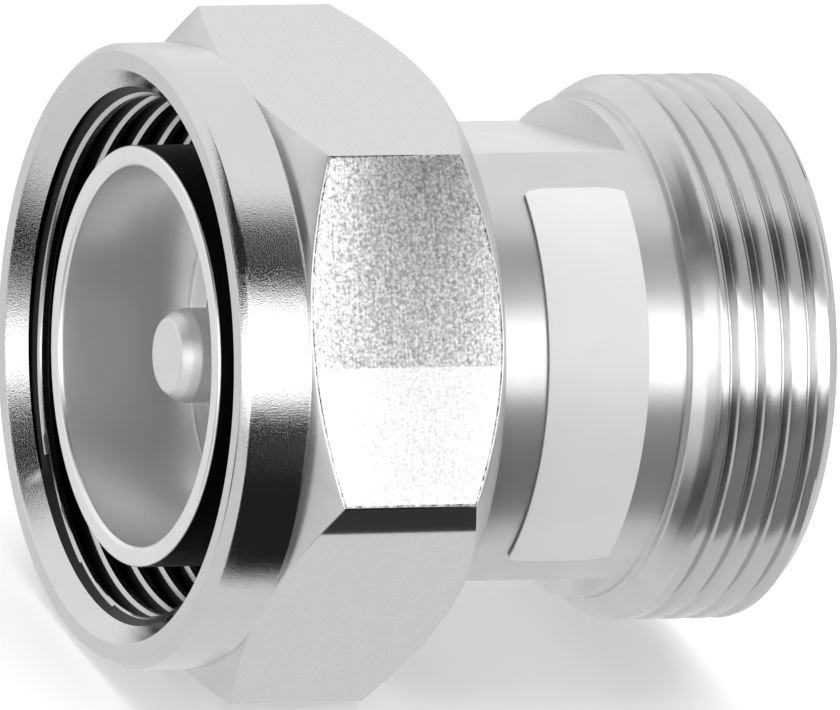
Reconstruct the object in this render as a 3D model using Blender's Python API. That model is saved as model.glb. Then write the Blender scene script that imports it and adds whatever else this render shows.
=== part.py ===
"""In-series coaxial adapter of the 7-16 size: a plug with a free-spinning coupling nut, and a threaded jack.

The axis lies along X through the origin, which is halfway along the adapter, with the plug towards -X.
One flat of the hexagon faces down. Both screw threads are left plain, at the diameter of their crests.
Lengths are in metres. An outline is a list of (x, r) points, in a half plane through the axis.
"""

import math

import bmesh
import bpy
from mathutils import Matrix

MM = 0.001

# Facets round a circle
LARGE_FACETS = 72
SMALL_FACETS = 48
SHARP_ANGLE = math.radians(28)

# Fits between pieces
SEAT_GAP = 0.30 * MM
RUNNING_GAP = 0.20 * MM
EDGE_BREAK = 0.25 * MM
CUTTER_SPARE = 1.0 * MM

# Whole adapter, from the nut's front face to the end of the jack
OVERALL_LENGTH = 35.4 * MM

# Screw thread of the interface: outside on the jack, inside in the nut
THREAD_DIAMETER = 29.0 * MM
THREAD_DEPTH = 0.8 * MM
NUT_THREAD_CREST_DIAMETER = THREAD_DIAMETER - 2 * THREAD_DEPTH

# Coupling nut
NUT_LENGTH = 15.4 * MM
NUT_MOUTH_DEPTH = 1.5 * MM
NUT_RELIEF_DEPTH = 1.0 * MM
NUT_RELIEF_LENGTH = 3.8 * MM
NUT_FLANGE_THICKNESS = 2.4 * MM
NUT_FLANGE_HEIGHT = 1.0 * MM
COLLAR_WALL = 1.3 * MM
COLLAR_LENGTH = 3.9 * MM
COLLAR_FRONT_BREAK = 0.45 * MM
HEX_WALL = 1.3 * MM
HEX_ACROSS_FLATS = NUT_THREAD_CREST_DIAMETER + 2 * (NUT_RELIEF_DEPTH + HEX_WALL)
HEX_RELIEF_DEPTH = 0.10 * MM
HEX_RELIEF_WIDTH = 0.15 * MM
HEX_FRONT_BEVEL = math.radians(30)
HEX_REAR_BEVEL = math.radians(38.5)
HEX_REAR_FACE_INSET = 0.4 * MM

# Journal that the nut turns on, with the groove of its snap ring
JOURNAL_DIAMETER = NUT_THREAD_CREST_DIAMETER - 2 * (NUT_FLANGE_HEIGHT + RUNNING_GAP)
SNAP_GROOVE_DEPTH = 1.1 * MM
SNAP_GROOVE_WALL = 0.7 * MM
SNAP_RING_PASSING_GAP = 0.10 * MM
SNAP_RING_THICKNESS = 1.0 * MM
SNAP_RING_SPLIT = 3.2 * MM

# Face seal that the mating jack presses on
GASKET_THICKNESS = 1.2 * MM

# Outer contact of the plug, with the spigot that joins it to the body
RIM_RECESS = 0.93 * MM
PLUG_CONTACT_DIAMETER = 22.2 * MM
PLUG_CONTACT_WALL = 1.1 * MM
PLUG_BORE_DEPTH = 7.5 * MM
RIM_OUTER_BREAK = 0.12 * MM
SPIGOT_WALL = 1.5 * MM
SPIGOT_LENGTH = 4.6 * MM

# Coaxial line between the two ends
LINE_OUTER_DIAMETER = 16.0 * MM
LINE_INNER_DIAMETER = 7.0 * MM
SPIGOT_DIAMETER = LINE_OUTER_DIAMETER + 2 * SPIGOT_WALL

# Insulating beads
CAPTIVE_BEAD_THICKNESS = 2.7 * MM
PRESSED_BEAD_THICKNESS = 2.5 * MM
PRESSED_BEAD_FROM_END = 10.0 * MM

# Centre contacts
PIN_DIAMETER = 5.0 * MM
PIN_TIP_BEHIND_RIM = 1.89 * MM
PIN_TIP_BREAK = 0.45 * MM
BEAD_SPIGOT_DIAMETER = 4.6 * MM
STUD_DIAMETER = 3.0 * MM
STUD_LENGTH = 3.0 * MM
SOCKET_BORE_DIAMETER = 5.0 * MM
SOCKET_BORE_DEPTH = 7.0 * MM
SOCKET_RECESS = 1.5 * MM
SOCKET_LEAD_IN = 0.30 * MM
SLOT_LENGTH = 6.0 * MM
SLOT_WIDTH = 0.5 * MM
SLOT_CUTS = 2

# Neck of the body, with two flats for a wrench
NECK_HEIGHT = 0.75 * MM
NECK_DIAMETER = JOURNAL_DIAMETER + 2 * NECK_HEIGHT
FLAT_DEPTH = 1.9 * MM
NECK_FLATS_TURN = math.radians(-18.5)
NECK_LAND = 1.05 * MM
FLAT_FRONT_SPARE = 0.10 * MM

# Threaded jack end
JACK_BAND_LENGTH = 7.6 * MM
JACK_SHOULDER_LENGTH = 0.95 * MM
JACK_END_BREAK = 0.85 * MM
JACK_GROOVE_WIDTH = 2.25 * MM
JACK_GROOVE_DEPTH = 8.4 * MM
JACK_MOUTH_BREAK = 0.5 * MM

# Outer contact of the jack, whose flange the captive bead holds against a step in the body
SLEEVE_WALL = 1.0 * MM
SLEEVE_RECESS = 1.3 * MM
SLEEVE_FLANGE_THICKNESS = 1.2 * MM

# Adhesive label round the near side of the neck
LABEL_WIDTH = 5.75 * MM
LABEL_THICKNESS = 0.12 * MM
LABEL_GAP = 0.08 * MM
LABEL_FROM_FLATS_END = 1.2 * MM
LABEL_LOW_ANGLE = math.radians(-30)
LABEL_HIGH_ANGLE = math.radians(65)
LABEL_CORNER = 1.7 * MM
LABEL_FACETS = 24
LABEL_CORNER_SEGMENTS = 3

# Stations along the axis that more than one piece is placed by
NUT_FRONT = -OVERALL_LENGTH / 2
JACK_END = OVERALL_LENGTH / 2
NUT_BACK = NUT_FRONT + NUT_LENGTH
NECK_FRONT = NUT_BACK + SEAT_GAP
FLANGE_FRONT = NUT_BACK - NUT_FLANGE_THICKNESS
SNAP_RING_FRONT = FLANGE_FRONT - SEAT_GAP - SNAP_RING_THICKNESS
BODY_FRONT = SNAP_RING_FRONT - SEAT_GAP - SNAP_GROOVE_WALL
GASKET_FRONT = BODY_FRONT - SEAT_GAP - GASKET_THICKNESS
RIM = NUT_FRONT + RIM_RECESS
PLUG_BORE_FLOOR = RIM + PLUG_BORE_DEPTH
SPIGOT_FRONT = BODY_FRONT - SEAT_GAP
SPIGOT_END = SPIGOT_FRONT + SPIGOT_LENGTH
CAPTIVE_BEAD_FRONT = SPIGOT_END + SEAT_GAP
SOCKET_FRONT = CAPTIVE_BEAD_FRONT + CAPTIVE_BEAD_THICKNESS + SEAT_GAP
COUNTERBORE_FLOOR = SOCKET_FRONT + SLEEVE_FLANGE_THICKNESS + SEAT_GAP
PRESSED_BEAD_BACK = JACK_END - PRESSED_BEAD_FROM_END
NECK_END = JACK_END - JACK_BAND_LENGTH - JACK_SHOULDER_LENGTH
FLATS_END = NECK_END - NECK_LAND


def finish(name, colour, metallic, roughness):
    """A plain material in the colour of the real one."""
    material = bpy.data.materials.new(name)
    material.use_nodes = True
    shader = material.node_tree.nodes["Principled BSDF"]
    shader.inputs["Base Color"].default_value = (*colour, 1)
    shader.inputs["Metallic"].default_value = metallic
    shader.inputs["Roughness"].default_value = roughness
    return material


def part(name, bm, material, station):
    """A named object from a bmesh, with its origin on the axis at the given station."""
    bmesh.ops.recalc_face_normals(bm, faces=bm.faces)
    mesh = bpy.data.meshes.new(name)
    bm.to_mesh(mesh)
    bm.free()
    mesh.shade_smooth()
    mesh.set_sharp_from_angle(angle=SHARP_ANGLE)
    mesh.materials.append(material)
    obj = bpy.data.objects.new(name, mesh)
    obj.location.x = station
    bpy.context.scene.collection.objects.link(obj)
    return obj


def spun(outline, facets, sweep=math.tau, filled=False):
    """A bmesh turned round the X axis from an outline. One that starts and ends on the axis stays open there."""
    bm = bmesh.new()
    points = [bm.verts.new((x, -r, 0)) for x, r in outline]
    ends_on_axis = outline[0][1] == 0 and outline[-1][1] == 0
    if filled:
        bm.faces.new(points)
    else:
        following = points[1:] if ends_on_axis else points[1:] + points[:1]
        for start, end in zip(points, following):
            bm.edges.new((start, end))
    whole = math.isclose(sweep, math.tau)
    bmesh.ops.spin(
        bm,
        geom=bm.verts[:] + bm.edges[:] + bm.faces[:],
        cent=(0, 0, 0),
        axis=(1, 0, 0),
        angle=sweep,
        steps=facets,
        use_merge=whole,
    )
    bmesh.ops.remove_doubles(bm, verts=bm.verts, dist=1e-7)
    return bm


def cutter(name, bm, station, turn=0.0):
    """A shape that only cuts: drawn as wire, and left out of renders."""
    bmesh.ops.recalc_face_normals(bm, faces=bm.faces)
    mesh = bpy.data.meshes.new(name)
    bm.to_mesh(mesh)
    bm.free()
    obj = bpy.data.objects.new(name, mesh)
    obj.location.x = station
    obj.rotation_euler.x = turn
    obj.display_type = "WIRE"
    obj.hide_render = True
    bpy.context.scene.collection.objects.link(obj)
    return obj


def cut(obj, *tools):
    """Takes the cutters' shapes away from the piece, and shades the edges that they leave sharp."""
    for tool in tools:
        boolean = obj.modifiers.new(tool.name, "BOOLEAN")
        boolean.operation = "DIFFERENCE"
        boolean.solver = "EXACT"
        boolean.object = tool
    bpy.context.view_layer.update()
    graph = bpy.context.evaluated_depsgraph_get()
    mesh = bpy.data.meshes.new_from_object(obj.evaluated_get(graph))
    mesh.shade_smooth()
    mesh.set_sharp_from_angle(angle=SHARP_ANGLE)
    obj.modifiers.clear()
    obj.data = mesh
    for tool in tools:
        bpy.data.objects.remove(tool)


def block(length, width, height):
    """A box from x = 0 to its length, centred on the axis."""
    bm = bmesh.new()
    placed = Matrix.Translation((length / 2, 0, 0)) @ Matrix.Diagonal((length, width, height, 1))
    bmesh.ops.create_cube(bm, size=1, matrix=placed)
    return bm


def hexagon_surround(length):
    """All that lies outside the nut's six flats, as a six-sided tube from x = 0 to its length."""
    corner = HEX_ACROSS_FLATS / math.sqrt(3)
    outline = [(0, corner), (0, 1.5 * corner), (length, 1.5 * corner), (length, corner)]
    return spun(outline, 6)


def coupling_nut(material):
    """The nut: a round collar, a bevelled hexagon, a bore for the thread, a relief and the flange that carries it."""
    crest = NUT_THREAD_CREST_DIAMETER / 2
    mouth = crest + NUT_MOUTH_DEPTH
    collar = mouth + COLLAR_WALL
    relief = crest + NUT_RELIEF_DEPTH
    flange_bore = crest - NUT_FLANGE_HEIGHT
    rear_face = HEX_ACROSS_FLATS / 2 - HEX_REAR_FACE_INSET
    groove = HEX_ACROSS_FLATS / 2 - HEX_RELIEF_DEPTH
    blank = HEX_ACROSS_FLATS / math.sqrt(3) * 1.02
    bevel_start = COLLAR_LENGTH + HEX_RELIEF_WIDTH
    bevel_end = bevel_start + (blank - groove) * math.tan(HEX_FRONT_BEVEL)
    rear_bevel_length = (blank - rear_face) * math.tan(HEX_REAR_BEVEL)
    flange_front = NUT_LENGTH - NUT_FLANGE_THICKNESS
    relief_front = flange_front - NUT_RELIEF_LENGTH
    outline = [
        (0, mouth),
        (0, collar - COLLAR_FRONT_BREAK),
        (COLLAR_FRONT_BREAK, collar),
        (COLLAR_LENGTH, collar),
        (COLLAR_LENGTH, groove),
        (bevel_start, groove),
        (bevel_end, blank),
        (NUT_LENGTH - rear_bevel_length, blank),
        (NUT_LENGTH, rear_face),
        (NUT_LENGTH, flange_bore + EDGE_BREAK),
        (NUT_LENGTH - EDGE_BREAK, flange_bore),
        (flange_front, flange_bore),
        (flange_front, relief),
        (relief_front, relief),
        (relief_front - (relief - crest), crest),
        (mouth - crest, crest),
    ]
    nut = part("coupling_nut", spun(outline, LARGE_FACETS), material, NUT_FRONT)
    cut_front = COLLAR_LENGTH + HEX_RELIEF_WIDTH / 2
    surround = hexagon_surround(NUT_LENGTH - cut_front + CUTTER_SPARE)
    cut(nut, cutter("hexagon_cutter", surround, NUT_FRONT + cut_front))
    return nut


def snap_ring(material):
    """The split ring in the journal's groove, which keeps the nut from coming off forwards."""
    inner = JOURNAL_DIAMETER / 2 - SNAP_GROOVE_DEPTH + SEAT_GAP
    outer = NUT_THREAD_CREST_DIAMETER / 2 - SNAP_RING_PASSING_GAP
    outline = [(0, inner), (0, outer), (SNAP_RING_THICKNESS, outer), (SNAP_RING_THICKNESS, inner)]
    sweep = math.tau - SNAP_RING_SPLIT / outer
    ring = spun(outline, LARGE_FACETS, sweep, filled=True)
    return part("snap_ring", ring, material, SNAP_RING_FRONT)


def gasket(material):
    """The flat seal round the foot of the plug's outer contact."""
    inner = PLUG_CONTACT_DIAMETER / 2 + SEAT_GAP
    outer = NUT_THREAD_CREST_DIAMETER / 2 - SEAT_GAP
    outline = [
        (0, inner + EDGE_BREAK),
        (0, outer - EDGE_BREAK),
        (EDGE_BREAK, outer),
        (GASKET_THICKNESS, outer),
        (GASKET_THICKNESS, inner),
        (EDGE_BREAK, inner),
    ]
    return part("gasket", spun(outline, LARGE_FACETS), material, GASKET_FRONT)


def plug_outer_contact(material):
    """The thin-walled cup of the plug, whose floor steps down to the line, and the spigot behind it."""
    outer = PLUG_CONTACT_DIAMETER / 2
    bore = outer - PLUG_CONTACT_WALL
    spigot = SPIGOT_DIAMETER / 2
    line = LINE_OUTER_DIAMETER / 2
    shoulder = SPIGOT_FRONT - RIM
    end = SPIGOT_END - RIM
    outline = [
        (0, bore + EDGE_BREAK),
        (0, outer - RIM_OUTER_BREAK),
        (RIM_OUTER_BREAK, outer),
        (shoulder, outer),
        (shoulder, spigot),
        (end - EDGE_BREAK, spigot),
        (end, spigot - EDGE_BREAK),
        (end, line),
        (PLUG_BORE_DEPTH, line),
        (PLUG_BORE_DEPTH, bore),
        (EDGE_BREAK, bore),
    ]
    return part("plug_outer_contact", spun(outline, LARGE_FACETS), material, RIM)


def adapter_body(material):
    """The body: journal, neck with two flats, threaded jack, and the bores that hold the contacts."""
    counterbore = SPIGOT_DIAMETER / 2 + SEAT_GAP
    journal = JOURNAL_DIAMETER / 2
    groove = journal - SNAP_GROOVE_DEPTH
    neck = NECK_DIAMETER / 2
    thread = THREAD_DIAMETER / 2
    sleeve = LINE_OUTER_DIAMETER / 2 + SLEEVE_WALL
    sleeve_bore = sleeve + SEAT_GAP
    ring_groove = sleeve + JACK_GROOVE_WIDTH
    neck_front = NECK_FRONT - BODY_FRONT
    neck_end = NECK_END - BODY_FRONT
    end = JACK_END - BODY_FRONT
    ring_groove_floor = end - JACK_GROOVE_DEPTH
    counterbore_floor = COUNTERBORE_FLOOR - BODY_FRONT
    outline = [
        (0, counterbore),
        (0, journal - EDGE_BREAK),
        (EDGE_BREAK, journal),
        (SNAP_GROOVE_WALL, journal),
        (SNAP_GROOVE_WALL, groove),
        (FLANGE_FRONT - BODY_FRONT, groove),
        (FLANGE_FRONT - BODY_FRONT, journal),
        (neck_front, journal),
        (neck_front, neck - EDGE_BREAK),
        (neck_front + EDGE_BREAK, neck),
        (neck_end, neck),
        (neck_end + JACK_SHOULDER_LENGTH, thread),
        (end - JACK_END_BREAK, thread),
        (end, thread - JACK_END_BREAK),
        (end, ring_groove + JACK_MOUTH_BREAK),
        (end - JACK_MOUTH_BREAK, ring_groove),
        (ring_groove_floor, ring_groove),
        (ring_groove_floor, sleeve_bore),
        (counterbore_floor, sleeve_bore),
        (counterbore_floor, counterbore),
    ]
    body = part("adapter_body", spun(outline, LARGE_FACETS), material, BODY_FRONT)
    depth = NECK_DIAMETER / 2
    length = FLATS_END - NECK_FRONT + FLAT_FRONT_SPARE
    slabs = []
    for side, name in ((1, "upper_flat_cutter"), (-1, "lower_flat_cutter")):
        slab = block(length, NECK_DIAMETER + CUTTER_SPARE, depth)
        lift = Matrix.Translation((0, 0, side * (neck - FLAT_DEPTH + depth / 2)))
        bmesh.ops.transform(slab, matrix=lift, verts=slab.verts)
        slabs.append(cutter(name, slab, NECK_FRONT - FLAT_FRONT_SPARE, NECK_FLATS_TURN))
    cut(body, *slabs)
    return body


def jack_outer_contact(material):
    """The sleeve that stands inside the jack's ring groove, with the flange at its foot."""
    line = LINE_OUTER_DIAMETER / 2
    sleeve = line + SLEEVE_WALL
    flange = SPIGOT_DIAMETER / 2
    end = JACK_END - SLEEVE_RECESS - SOCKET_FRONT
    outline = [
        (0, line),
        (0, flange - EDGE_BREAK),
        (EDGE_BREAK, flange),
        (SLEEVE_FLANGE_THICKNESS, flange),
        (SLEEVE_FLANGE_THICKNESS, sleeve),
        (end - EDGE_BREAK, sleeve),
        (end, sleeve - EDGE_BREAK),
        (end, line + EDGE_BREAK),
        (end - EDGE_BREAK, line),
    ]
    return part("jack_outer_contact", spun(outline, LARGE_FACETS), material, SOCKET_FRONT)


def bead(name, outer, hole, thickness, material, station):
    """An insulating washer with both outer edges broken."""
    outline = [
        (0, hole),
        (0, outer - EDGE_BREAK),
        (EDGE_BREAK, outer),
        (thickness - EDGE_BREAK, outer),
        (thickness, outer - EDGE_BREAK),
        (thickness, hole),
    ]
    return part(name, spun(outline, SMALL_FACETS), material, station)


def captive_bead(material):
    """The bead between the two outer contacts, which holds the centre contacts in place."""
    outer = SPIGOT_DIAMETER / 2
    hole = BEAD_SPIGOT_DIAMETER / 2 + SEAT_GAP
    return bead("captive_bead", outer, hole, CAPTIVE_BEAD_THICKNESS, material, CAPTIVE_BEAD_FRONT)


def pressed_bead(material):
    """The bead pressed into the jack's outer contact, which steadies the socket."""
    outer = LINE_OUTER_DIAMETER / 2 - SEAT_GAP
    hole = LINE_INNER_DIAMETER / 2 + SEAT_GAP
    station = PRESSED_BEAD_BACK - PRESSED_BEAD_THICKNESS
    return bead("pressed_bead", outer, hole, PRESSED_BEAD_THICKNESS, material, station)


def pin_contact(material):
    """The centre contact of the plug, with the spigot and the stud that go through the captive bead."""
    tip = RIM + PIN_TIP_BEHIND_RIM
    pin = PIN_DIAMETER / 2
    line = LINE_INNER_DIAMETER / 2
    spigot = BEAD_SPIGOT_DIAMETER / 2
    stud = STUD_DIAMETER / 2
    shoulder = PLUG_BORE_FLOOR - tip
    bead_face = CAPTIVE_BEAD_FRONT - SEAT_GAP - tip
    spigot_end = SOCKET_FRONT - SEAT_GAP - tip
    stud_end = SOCKET_FRONT + STUD_LENGTH - tip
    outline = [
        (0, 0),
        (0, pin - PIN_TIP_BREAK),
        (PIN_TIP_BREAK, pin),
        (shoulder, pin),
        (shoulder, line - EDGE_BREAK),
        (shoulder + EDGE_BREAK, line),
        (bead_face, line),
        (bead_face, spigot),
        (spigot_end, spigot),
        (spigot_end, stud),
        (stud_end, stud),
        (stud_end, 0),
    ]
    return part("pin_contact", spun(outline, SMALL_FACETS), material, tip)


def socket_contact(material):
    """The centre contact of the jack, slotted into four spring fingers, with the hole that takes the pin's stud."""
    outer = LINE_INNER_DIAMETER / 2
    bore = SOCKET_BORE_DIAMETER / 2
    stud_hole = STUD_DIAMETER / 2 + SEAT_GAP
    end = JACK_END - SOCKET_RECESS - SOCKET_FRONT
    stud_hole_end = STUD_LENGTH + SEAT_GAP
    outline = [
        (stud_hole_end, 0),
        (stud_hole_end, stud_hole),
        (0, stud_hole),
        (0, outer),
        (end - EDGE_BREAK, outer),
        (end, outer - EDGE_BREAK),
        (end, bore + SOCKET_LEAD_IN),
        (end - SOCKET_LEAD_IN, bore),
        (end - SOCKET_BORE_DEPTH, bore),
        (end - SOCKET_BORE_DEPTH, 0),
    ]
    socket = part("socket_contact", spun(outline, SMALL_FACETS), material, SOCKET_FRONT)
    slot_station = SOCKET_FRONT + end - SLOT_LENGTH
    slots = []
    for index in range(SLOT_CUTS):
        slot = block(SLOT_LENGTH + CUTTER_SPARE, SLOT_WIDTH, LINE_INNER_DIAMETER + CUTTER_SPARE)
        turn = math.pi * (index + 0.5) / SLOT_CUTS
        slots.append(cutter(f"slot_cutter_{index + 1}", slot, slot_station, turn))
    cut(socket, *slots)
    return socket


def label(material):
    """A thin curved sticker with rounded corners, blank, on the near side of the neck."""
    inner = NECK_DIAMETER / 2 + LABEL_GAP
    outer = inner + LABEL_THICKNESS
    outline = [(0, inner), (0, outer), (LABEL_WIDTH, outer), (LABEL_WIDTH, inner)]
    bm = spun(outline, LABEL_FACETS, LABEL_HIGH_ANGLE - LABEL_LOW_ANGLE, filled=True)
    turned = Matrix.Rotation(-LABEL_HIGH_ANGLE, 4, "X")
    bmesh.ops.transform(bm, matrix=turned, verts=bm.verts)
    corners = [edge for edge in bm.edges if is_label_corner(edge)]
    bmesh.ops.bevel(
        bm,
        geom=corners,
        affect="EDGES",
        offset=LABEL_CORNER,
        offset_type="OFFSET",
        segments=LABEL_CORNER_SEGMENTS,
        profile=0.5,
        material=-1,
    )
    station = FLATS_END - LABEL_FROM_FLATS_END - LABEL_WIDTH
    return part("label", bm, material, station)


def is_label_corner(edge):
    """True for one of the four short edges that run outwards at the sticker's corners."""
    if edge.calc_length() > 1.5 * LABEL_THICKNESS:
        return False
    return all(len(vert.link_faces) == 3 for vert in edge.verts)


def clear_scene():
    """Starts from an empty scene."""
    for obj in list(bpy.data.objects):
        bpy.data.objects.remove(obj)


def main():
    """Makes every piece in its place."""
    clear_scene()
    plated = finish("white_bronze_plate", (0.74, 0.74, 0.72), 1.0, 0.24)
    silver = finish("silver_plate", (0.86, 0.85, 0.82), 1.0, 0.22)
    spring_bronze = finish("phosphor_bronze", (0.58, 0.42, 0.24), 1.0, 0.35)
    silicone = finish("silicone_rubber", (0.05, 0.05, 0.05), 0.0, 0.60)
    ptfe = finish("white_ptfe", (0.88, 0.88, 0.86), 0.0, 0.45)
    film = finish("label_film", (0.80, 0.80, 0.80), 0.0, 0.40)
    coupling_nut(plated)
    snap_ring(spring_bronze)
    gasket(silicone)
    plug_outer_contact(silver)
    adapter_body(plated)
    jack_outer_contact(silver)
    captive_bead(ptfe)
    pressed_bead(ptfe)
    pin_contact(silver)
    socket_contact(silver)
    label(film)


main()
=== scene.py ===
"""Coaxial adapter of the 7-16 size, plug to jack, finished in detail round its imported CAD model.

Sizes are in millimetres and stations run along X from the middle of the adapter, with the plug
towards -X. Each mesh is scaled to metres when it is finished. An outline is a list of (x, radius)
points in a half plane through the axis, which the bmesh spin operator turns into a solid.
"""

import logging
import math
from abc import ABC, abstractmethod
from dataclasses import dataclass, field
from enum import Enum
from typing import Any, Iterable, Sequence

import bmesh
import bpy
from mathutils import Matrix, Vector


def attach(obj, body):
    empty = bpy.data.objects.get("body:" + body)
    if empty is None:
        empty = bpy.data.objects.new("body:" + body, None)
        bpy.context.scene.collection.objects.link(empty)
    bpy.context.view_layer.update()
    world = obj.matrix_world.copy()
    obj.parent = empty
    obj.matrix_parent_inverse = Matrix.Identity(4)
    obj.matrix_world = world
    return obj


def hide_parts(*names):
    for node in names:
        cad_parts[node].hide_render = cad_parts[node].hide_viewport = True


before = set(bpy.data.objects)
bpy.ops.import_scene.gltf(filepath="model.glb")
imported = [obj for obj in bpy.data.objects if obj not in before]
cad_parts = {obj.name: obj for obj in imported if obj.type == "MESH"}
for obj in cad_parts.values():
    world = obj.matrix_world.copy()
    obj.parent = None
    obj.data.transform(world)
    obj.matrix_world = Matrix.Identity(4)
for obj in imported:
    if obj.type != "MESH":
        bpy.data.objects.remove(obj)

log = logging.getLogger("adapter")

MM = 0.001
STEPS = 180
SMALL_STEPS = 96
SHARP_ANGLE = math.radians(27)
# Vertices that are nearer than this become one.
MERGE = 1e-4
PLANE_MERGE = 1e-5
# A narrow facet beside each rounded corner keeps the corner's smooth shading off the long facet behind it.
GUARD = 0.12
# A face with more corners or a larger area in square millimetres than these is shaded flat.
FLAT_CORNERS = 20
FLAT_AREA = 20.0
# The direction up the hexagon's flat that faces the camera.
FLAT_RISE = Vector((0.0, math.sin(math.pi / 6), math.cos(math.pi / 6)))
WHITE = (1.0, 1.0, 1.0, 1.0)
BLACK = (0.0, 0.0, 0.0, 1.0)

BMesh = bmesh.types.BMesh
Object = bpy.types.Object
Tree = bpy.types.NodeTree
Socket = bpy.types.NodeSocket
Point = tuple[float, float, float]
Outline = Sequence[tuple[float, float]]


class Body(Enum):
    """The two bodies that the joint joins."""

    ADAPTER = "adapter"
    NUT = "nut"


class Slot(Enum):
    """Material slot names, one of which each piece carries."""

    PLATE = "white_bronze_plate"
    SILVER = "silver_plate"
    BRONZE = "phosphor_bronze"
    SILICONE = "silicone_rubber"
    PTFE = "white_ptfe"
    FILM = "label_film"


class Side(Enum):
    """Which side of a cylinder a screw thread is cut on."""

    OUTSIDE = 1
    INSIDE = -1


# ---------------------------------------------------------------- materials


def linear(colour: str) -> tuple[float, float, float, float]:
    """Turns an sRGB hex colour into linear RGBA.

    Args:
        colour: Six hex digits after a hash.

    Returns:
        The linear colour with an alpha of one.
    """
    parts = [int(colour[i : i + 2], 16) / 255 for i in (1, 3, 5)]
    red, green, blue = (c / 12.92 if c <= 0.04045 else ((c + 0.055) / 1.055) ** 2.4 for c in parts)
    return red, green, blue, 1.0


def scale_for(width: float) -> float:
    """Gives the texture scale whose pattern repeats about every so many millimetres."""
    return 1 / (width * MM)


def node(tree: Tree, kind: str, inputs: dict[Any, Any] | None = None, **settings: Any) -> bpy.types.Node:
    """Adds a shader node with its settings, values and links.

    Args:
        tree: The node tree to add to.
        kind: The node's class name without its "ShaderNode" prefix.
        inputs: Values for input sockets, or output sockets to link to them.
        settings: Properties of the node.

    Returns:
        The new node.
    """
    made = tree.nodes.new("ShaderNode" + kind)
    for name, value in settings.items():
        setattr(made, name, value)
    for name, value in (inputs or {}).items():
        if isinstance(value, Socket):
            tree.links.new(value, made.inputs[name])
        else:
            made.inputs[name].default_value = value
    return made


def new_material(name: str) -> tuple[bpy.types.Material, Tree, bpy.types.Node]:
    """Makes a material and finds its shader.

    Args:
        name: The material's name.

    Returns:
        The material, its node tree and its Principled shader.
    """
    material = bpy.data.materials.new(name)
    material.use_nodes = True
    return material, material.node_tree, material.node_tree.nodes["Principled BSDF"]


@dataclass(frozen=True)
class TurningMarks:
    """The fine grooves that a lathe tool leaves round the axis, with the plating's grain over them.

    Widths and depths are in millimetres. The grain is drawn coarser than real, so that it shows.
    """

    line_width: float = 0.07
    line_depth: float = 0.0006
    grain_width: float = 0.16
    grain_depth: float = 0.0005
    wobble: float = 0.05
    drift_width: float = 6.0

    def height(self, tree: Tree) -> Socket:
        """Builds the height pattern, which follows the axis on every cylinder, cone and face.

        Args:
            tree: The node tree to add to.

        Returns:
            The height in metres.
        """
        place = node(tree, "TexCoord").outputs["Object"]
        split = node(tree, "SeparateXYZ", {0: place})
        across = node(tree, "CombineXYZ", {"X": split.outputs["Y"], "Y": split.outputs["Z"]})
        radius = node(tree, "VectorMath", {0: across.outputs[0]}, operation="LENGTH")
        feed = node(tree, "Math", {0: split.outputs["X"], 1: radius.outputs["Value"]}, operation="ADD")
        drift = node(tree, "TexNoise", {"Vector": place, "Scale": scale_for(self.drift_width), "Detail": 1.0})
        moved = node(
            tree,
            "Math",
            {0: drift.outputs["Fac"], 1: self.wobble * MM, 2: feed.outputs[0]},
            operation="MULTIPLY_ADD",
        )
        lines = node(
            tree,
            "TexNoise",
            {"W": moved.outputs[0], "Scale": scale_for(self.line_width), "Detail": 2.0, "Roughness": 0.6},
            noise_dimensions="1D",
        )
        grain = node(
            tree, "TexNoise", {"Vector": place, "Scale": scale_for(self.grain_width), "Detail": 2.0, "Roughness": 0.55}
        )
        lined = node(tree, "Math", {0: lines.outputs["Fac"], 1: self.line_depth * MM}, operation="MULTIPLY")
        total = node(
            tree,
            "Math",
            {0: grain.outputs["Fac"], 1: self.grain_depth * MM, 2: lined.outputs[0]},
            operation="MULTIPLY_ADD",
        )
        return total.outputs[0]


@dataclass(frozen=True)
class Finish(ABC):
    """A surface in two tones, with a pattern that mixes them and gives the relief."""

    name: str
    colour: str
    shade_colour: str
    roughness: float

    @abstractmethod
    def pattern(self, tree: Tree, shader: bpy.types.Node) -> tuple[Socket, Socket]:
        """Adds the pattern and sets the shader.

        Args:
            tree: The node tree to add to.
            shader: The material's shader.

        Returns:
            The share of the shade colour, and the height in metres.
        """

    def material(self) -> bpy.types.Material:
        """Builds the material.

        Returns:
            The material, with its tone and bump from the pattern.
        """
        made, tree, shader = new_material(self.name)
        shader.inputs["Roughness"].default_value = self.roughness
        share, height = self.pattern(tree, shader)
        tone = node(tree, "MixRGB", {0: share, 1: linear(self.colour), 2: linear(self.shade_colour)})
        bump = node(tree, "Bump", {"Height": height, "Distance": 1.0, "Strength": 1.0})
        tree.links.new(tone.outputs[0], shader.inputs["Base Color"])
        tree.links.new(bump.outputs[0], shader.inputs["Normal"])
        return made


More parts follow.
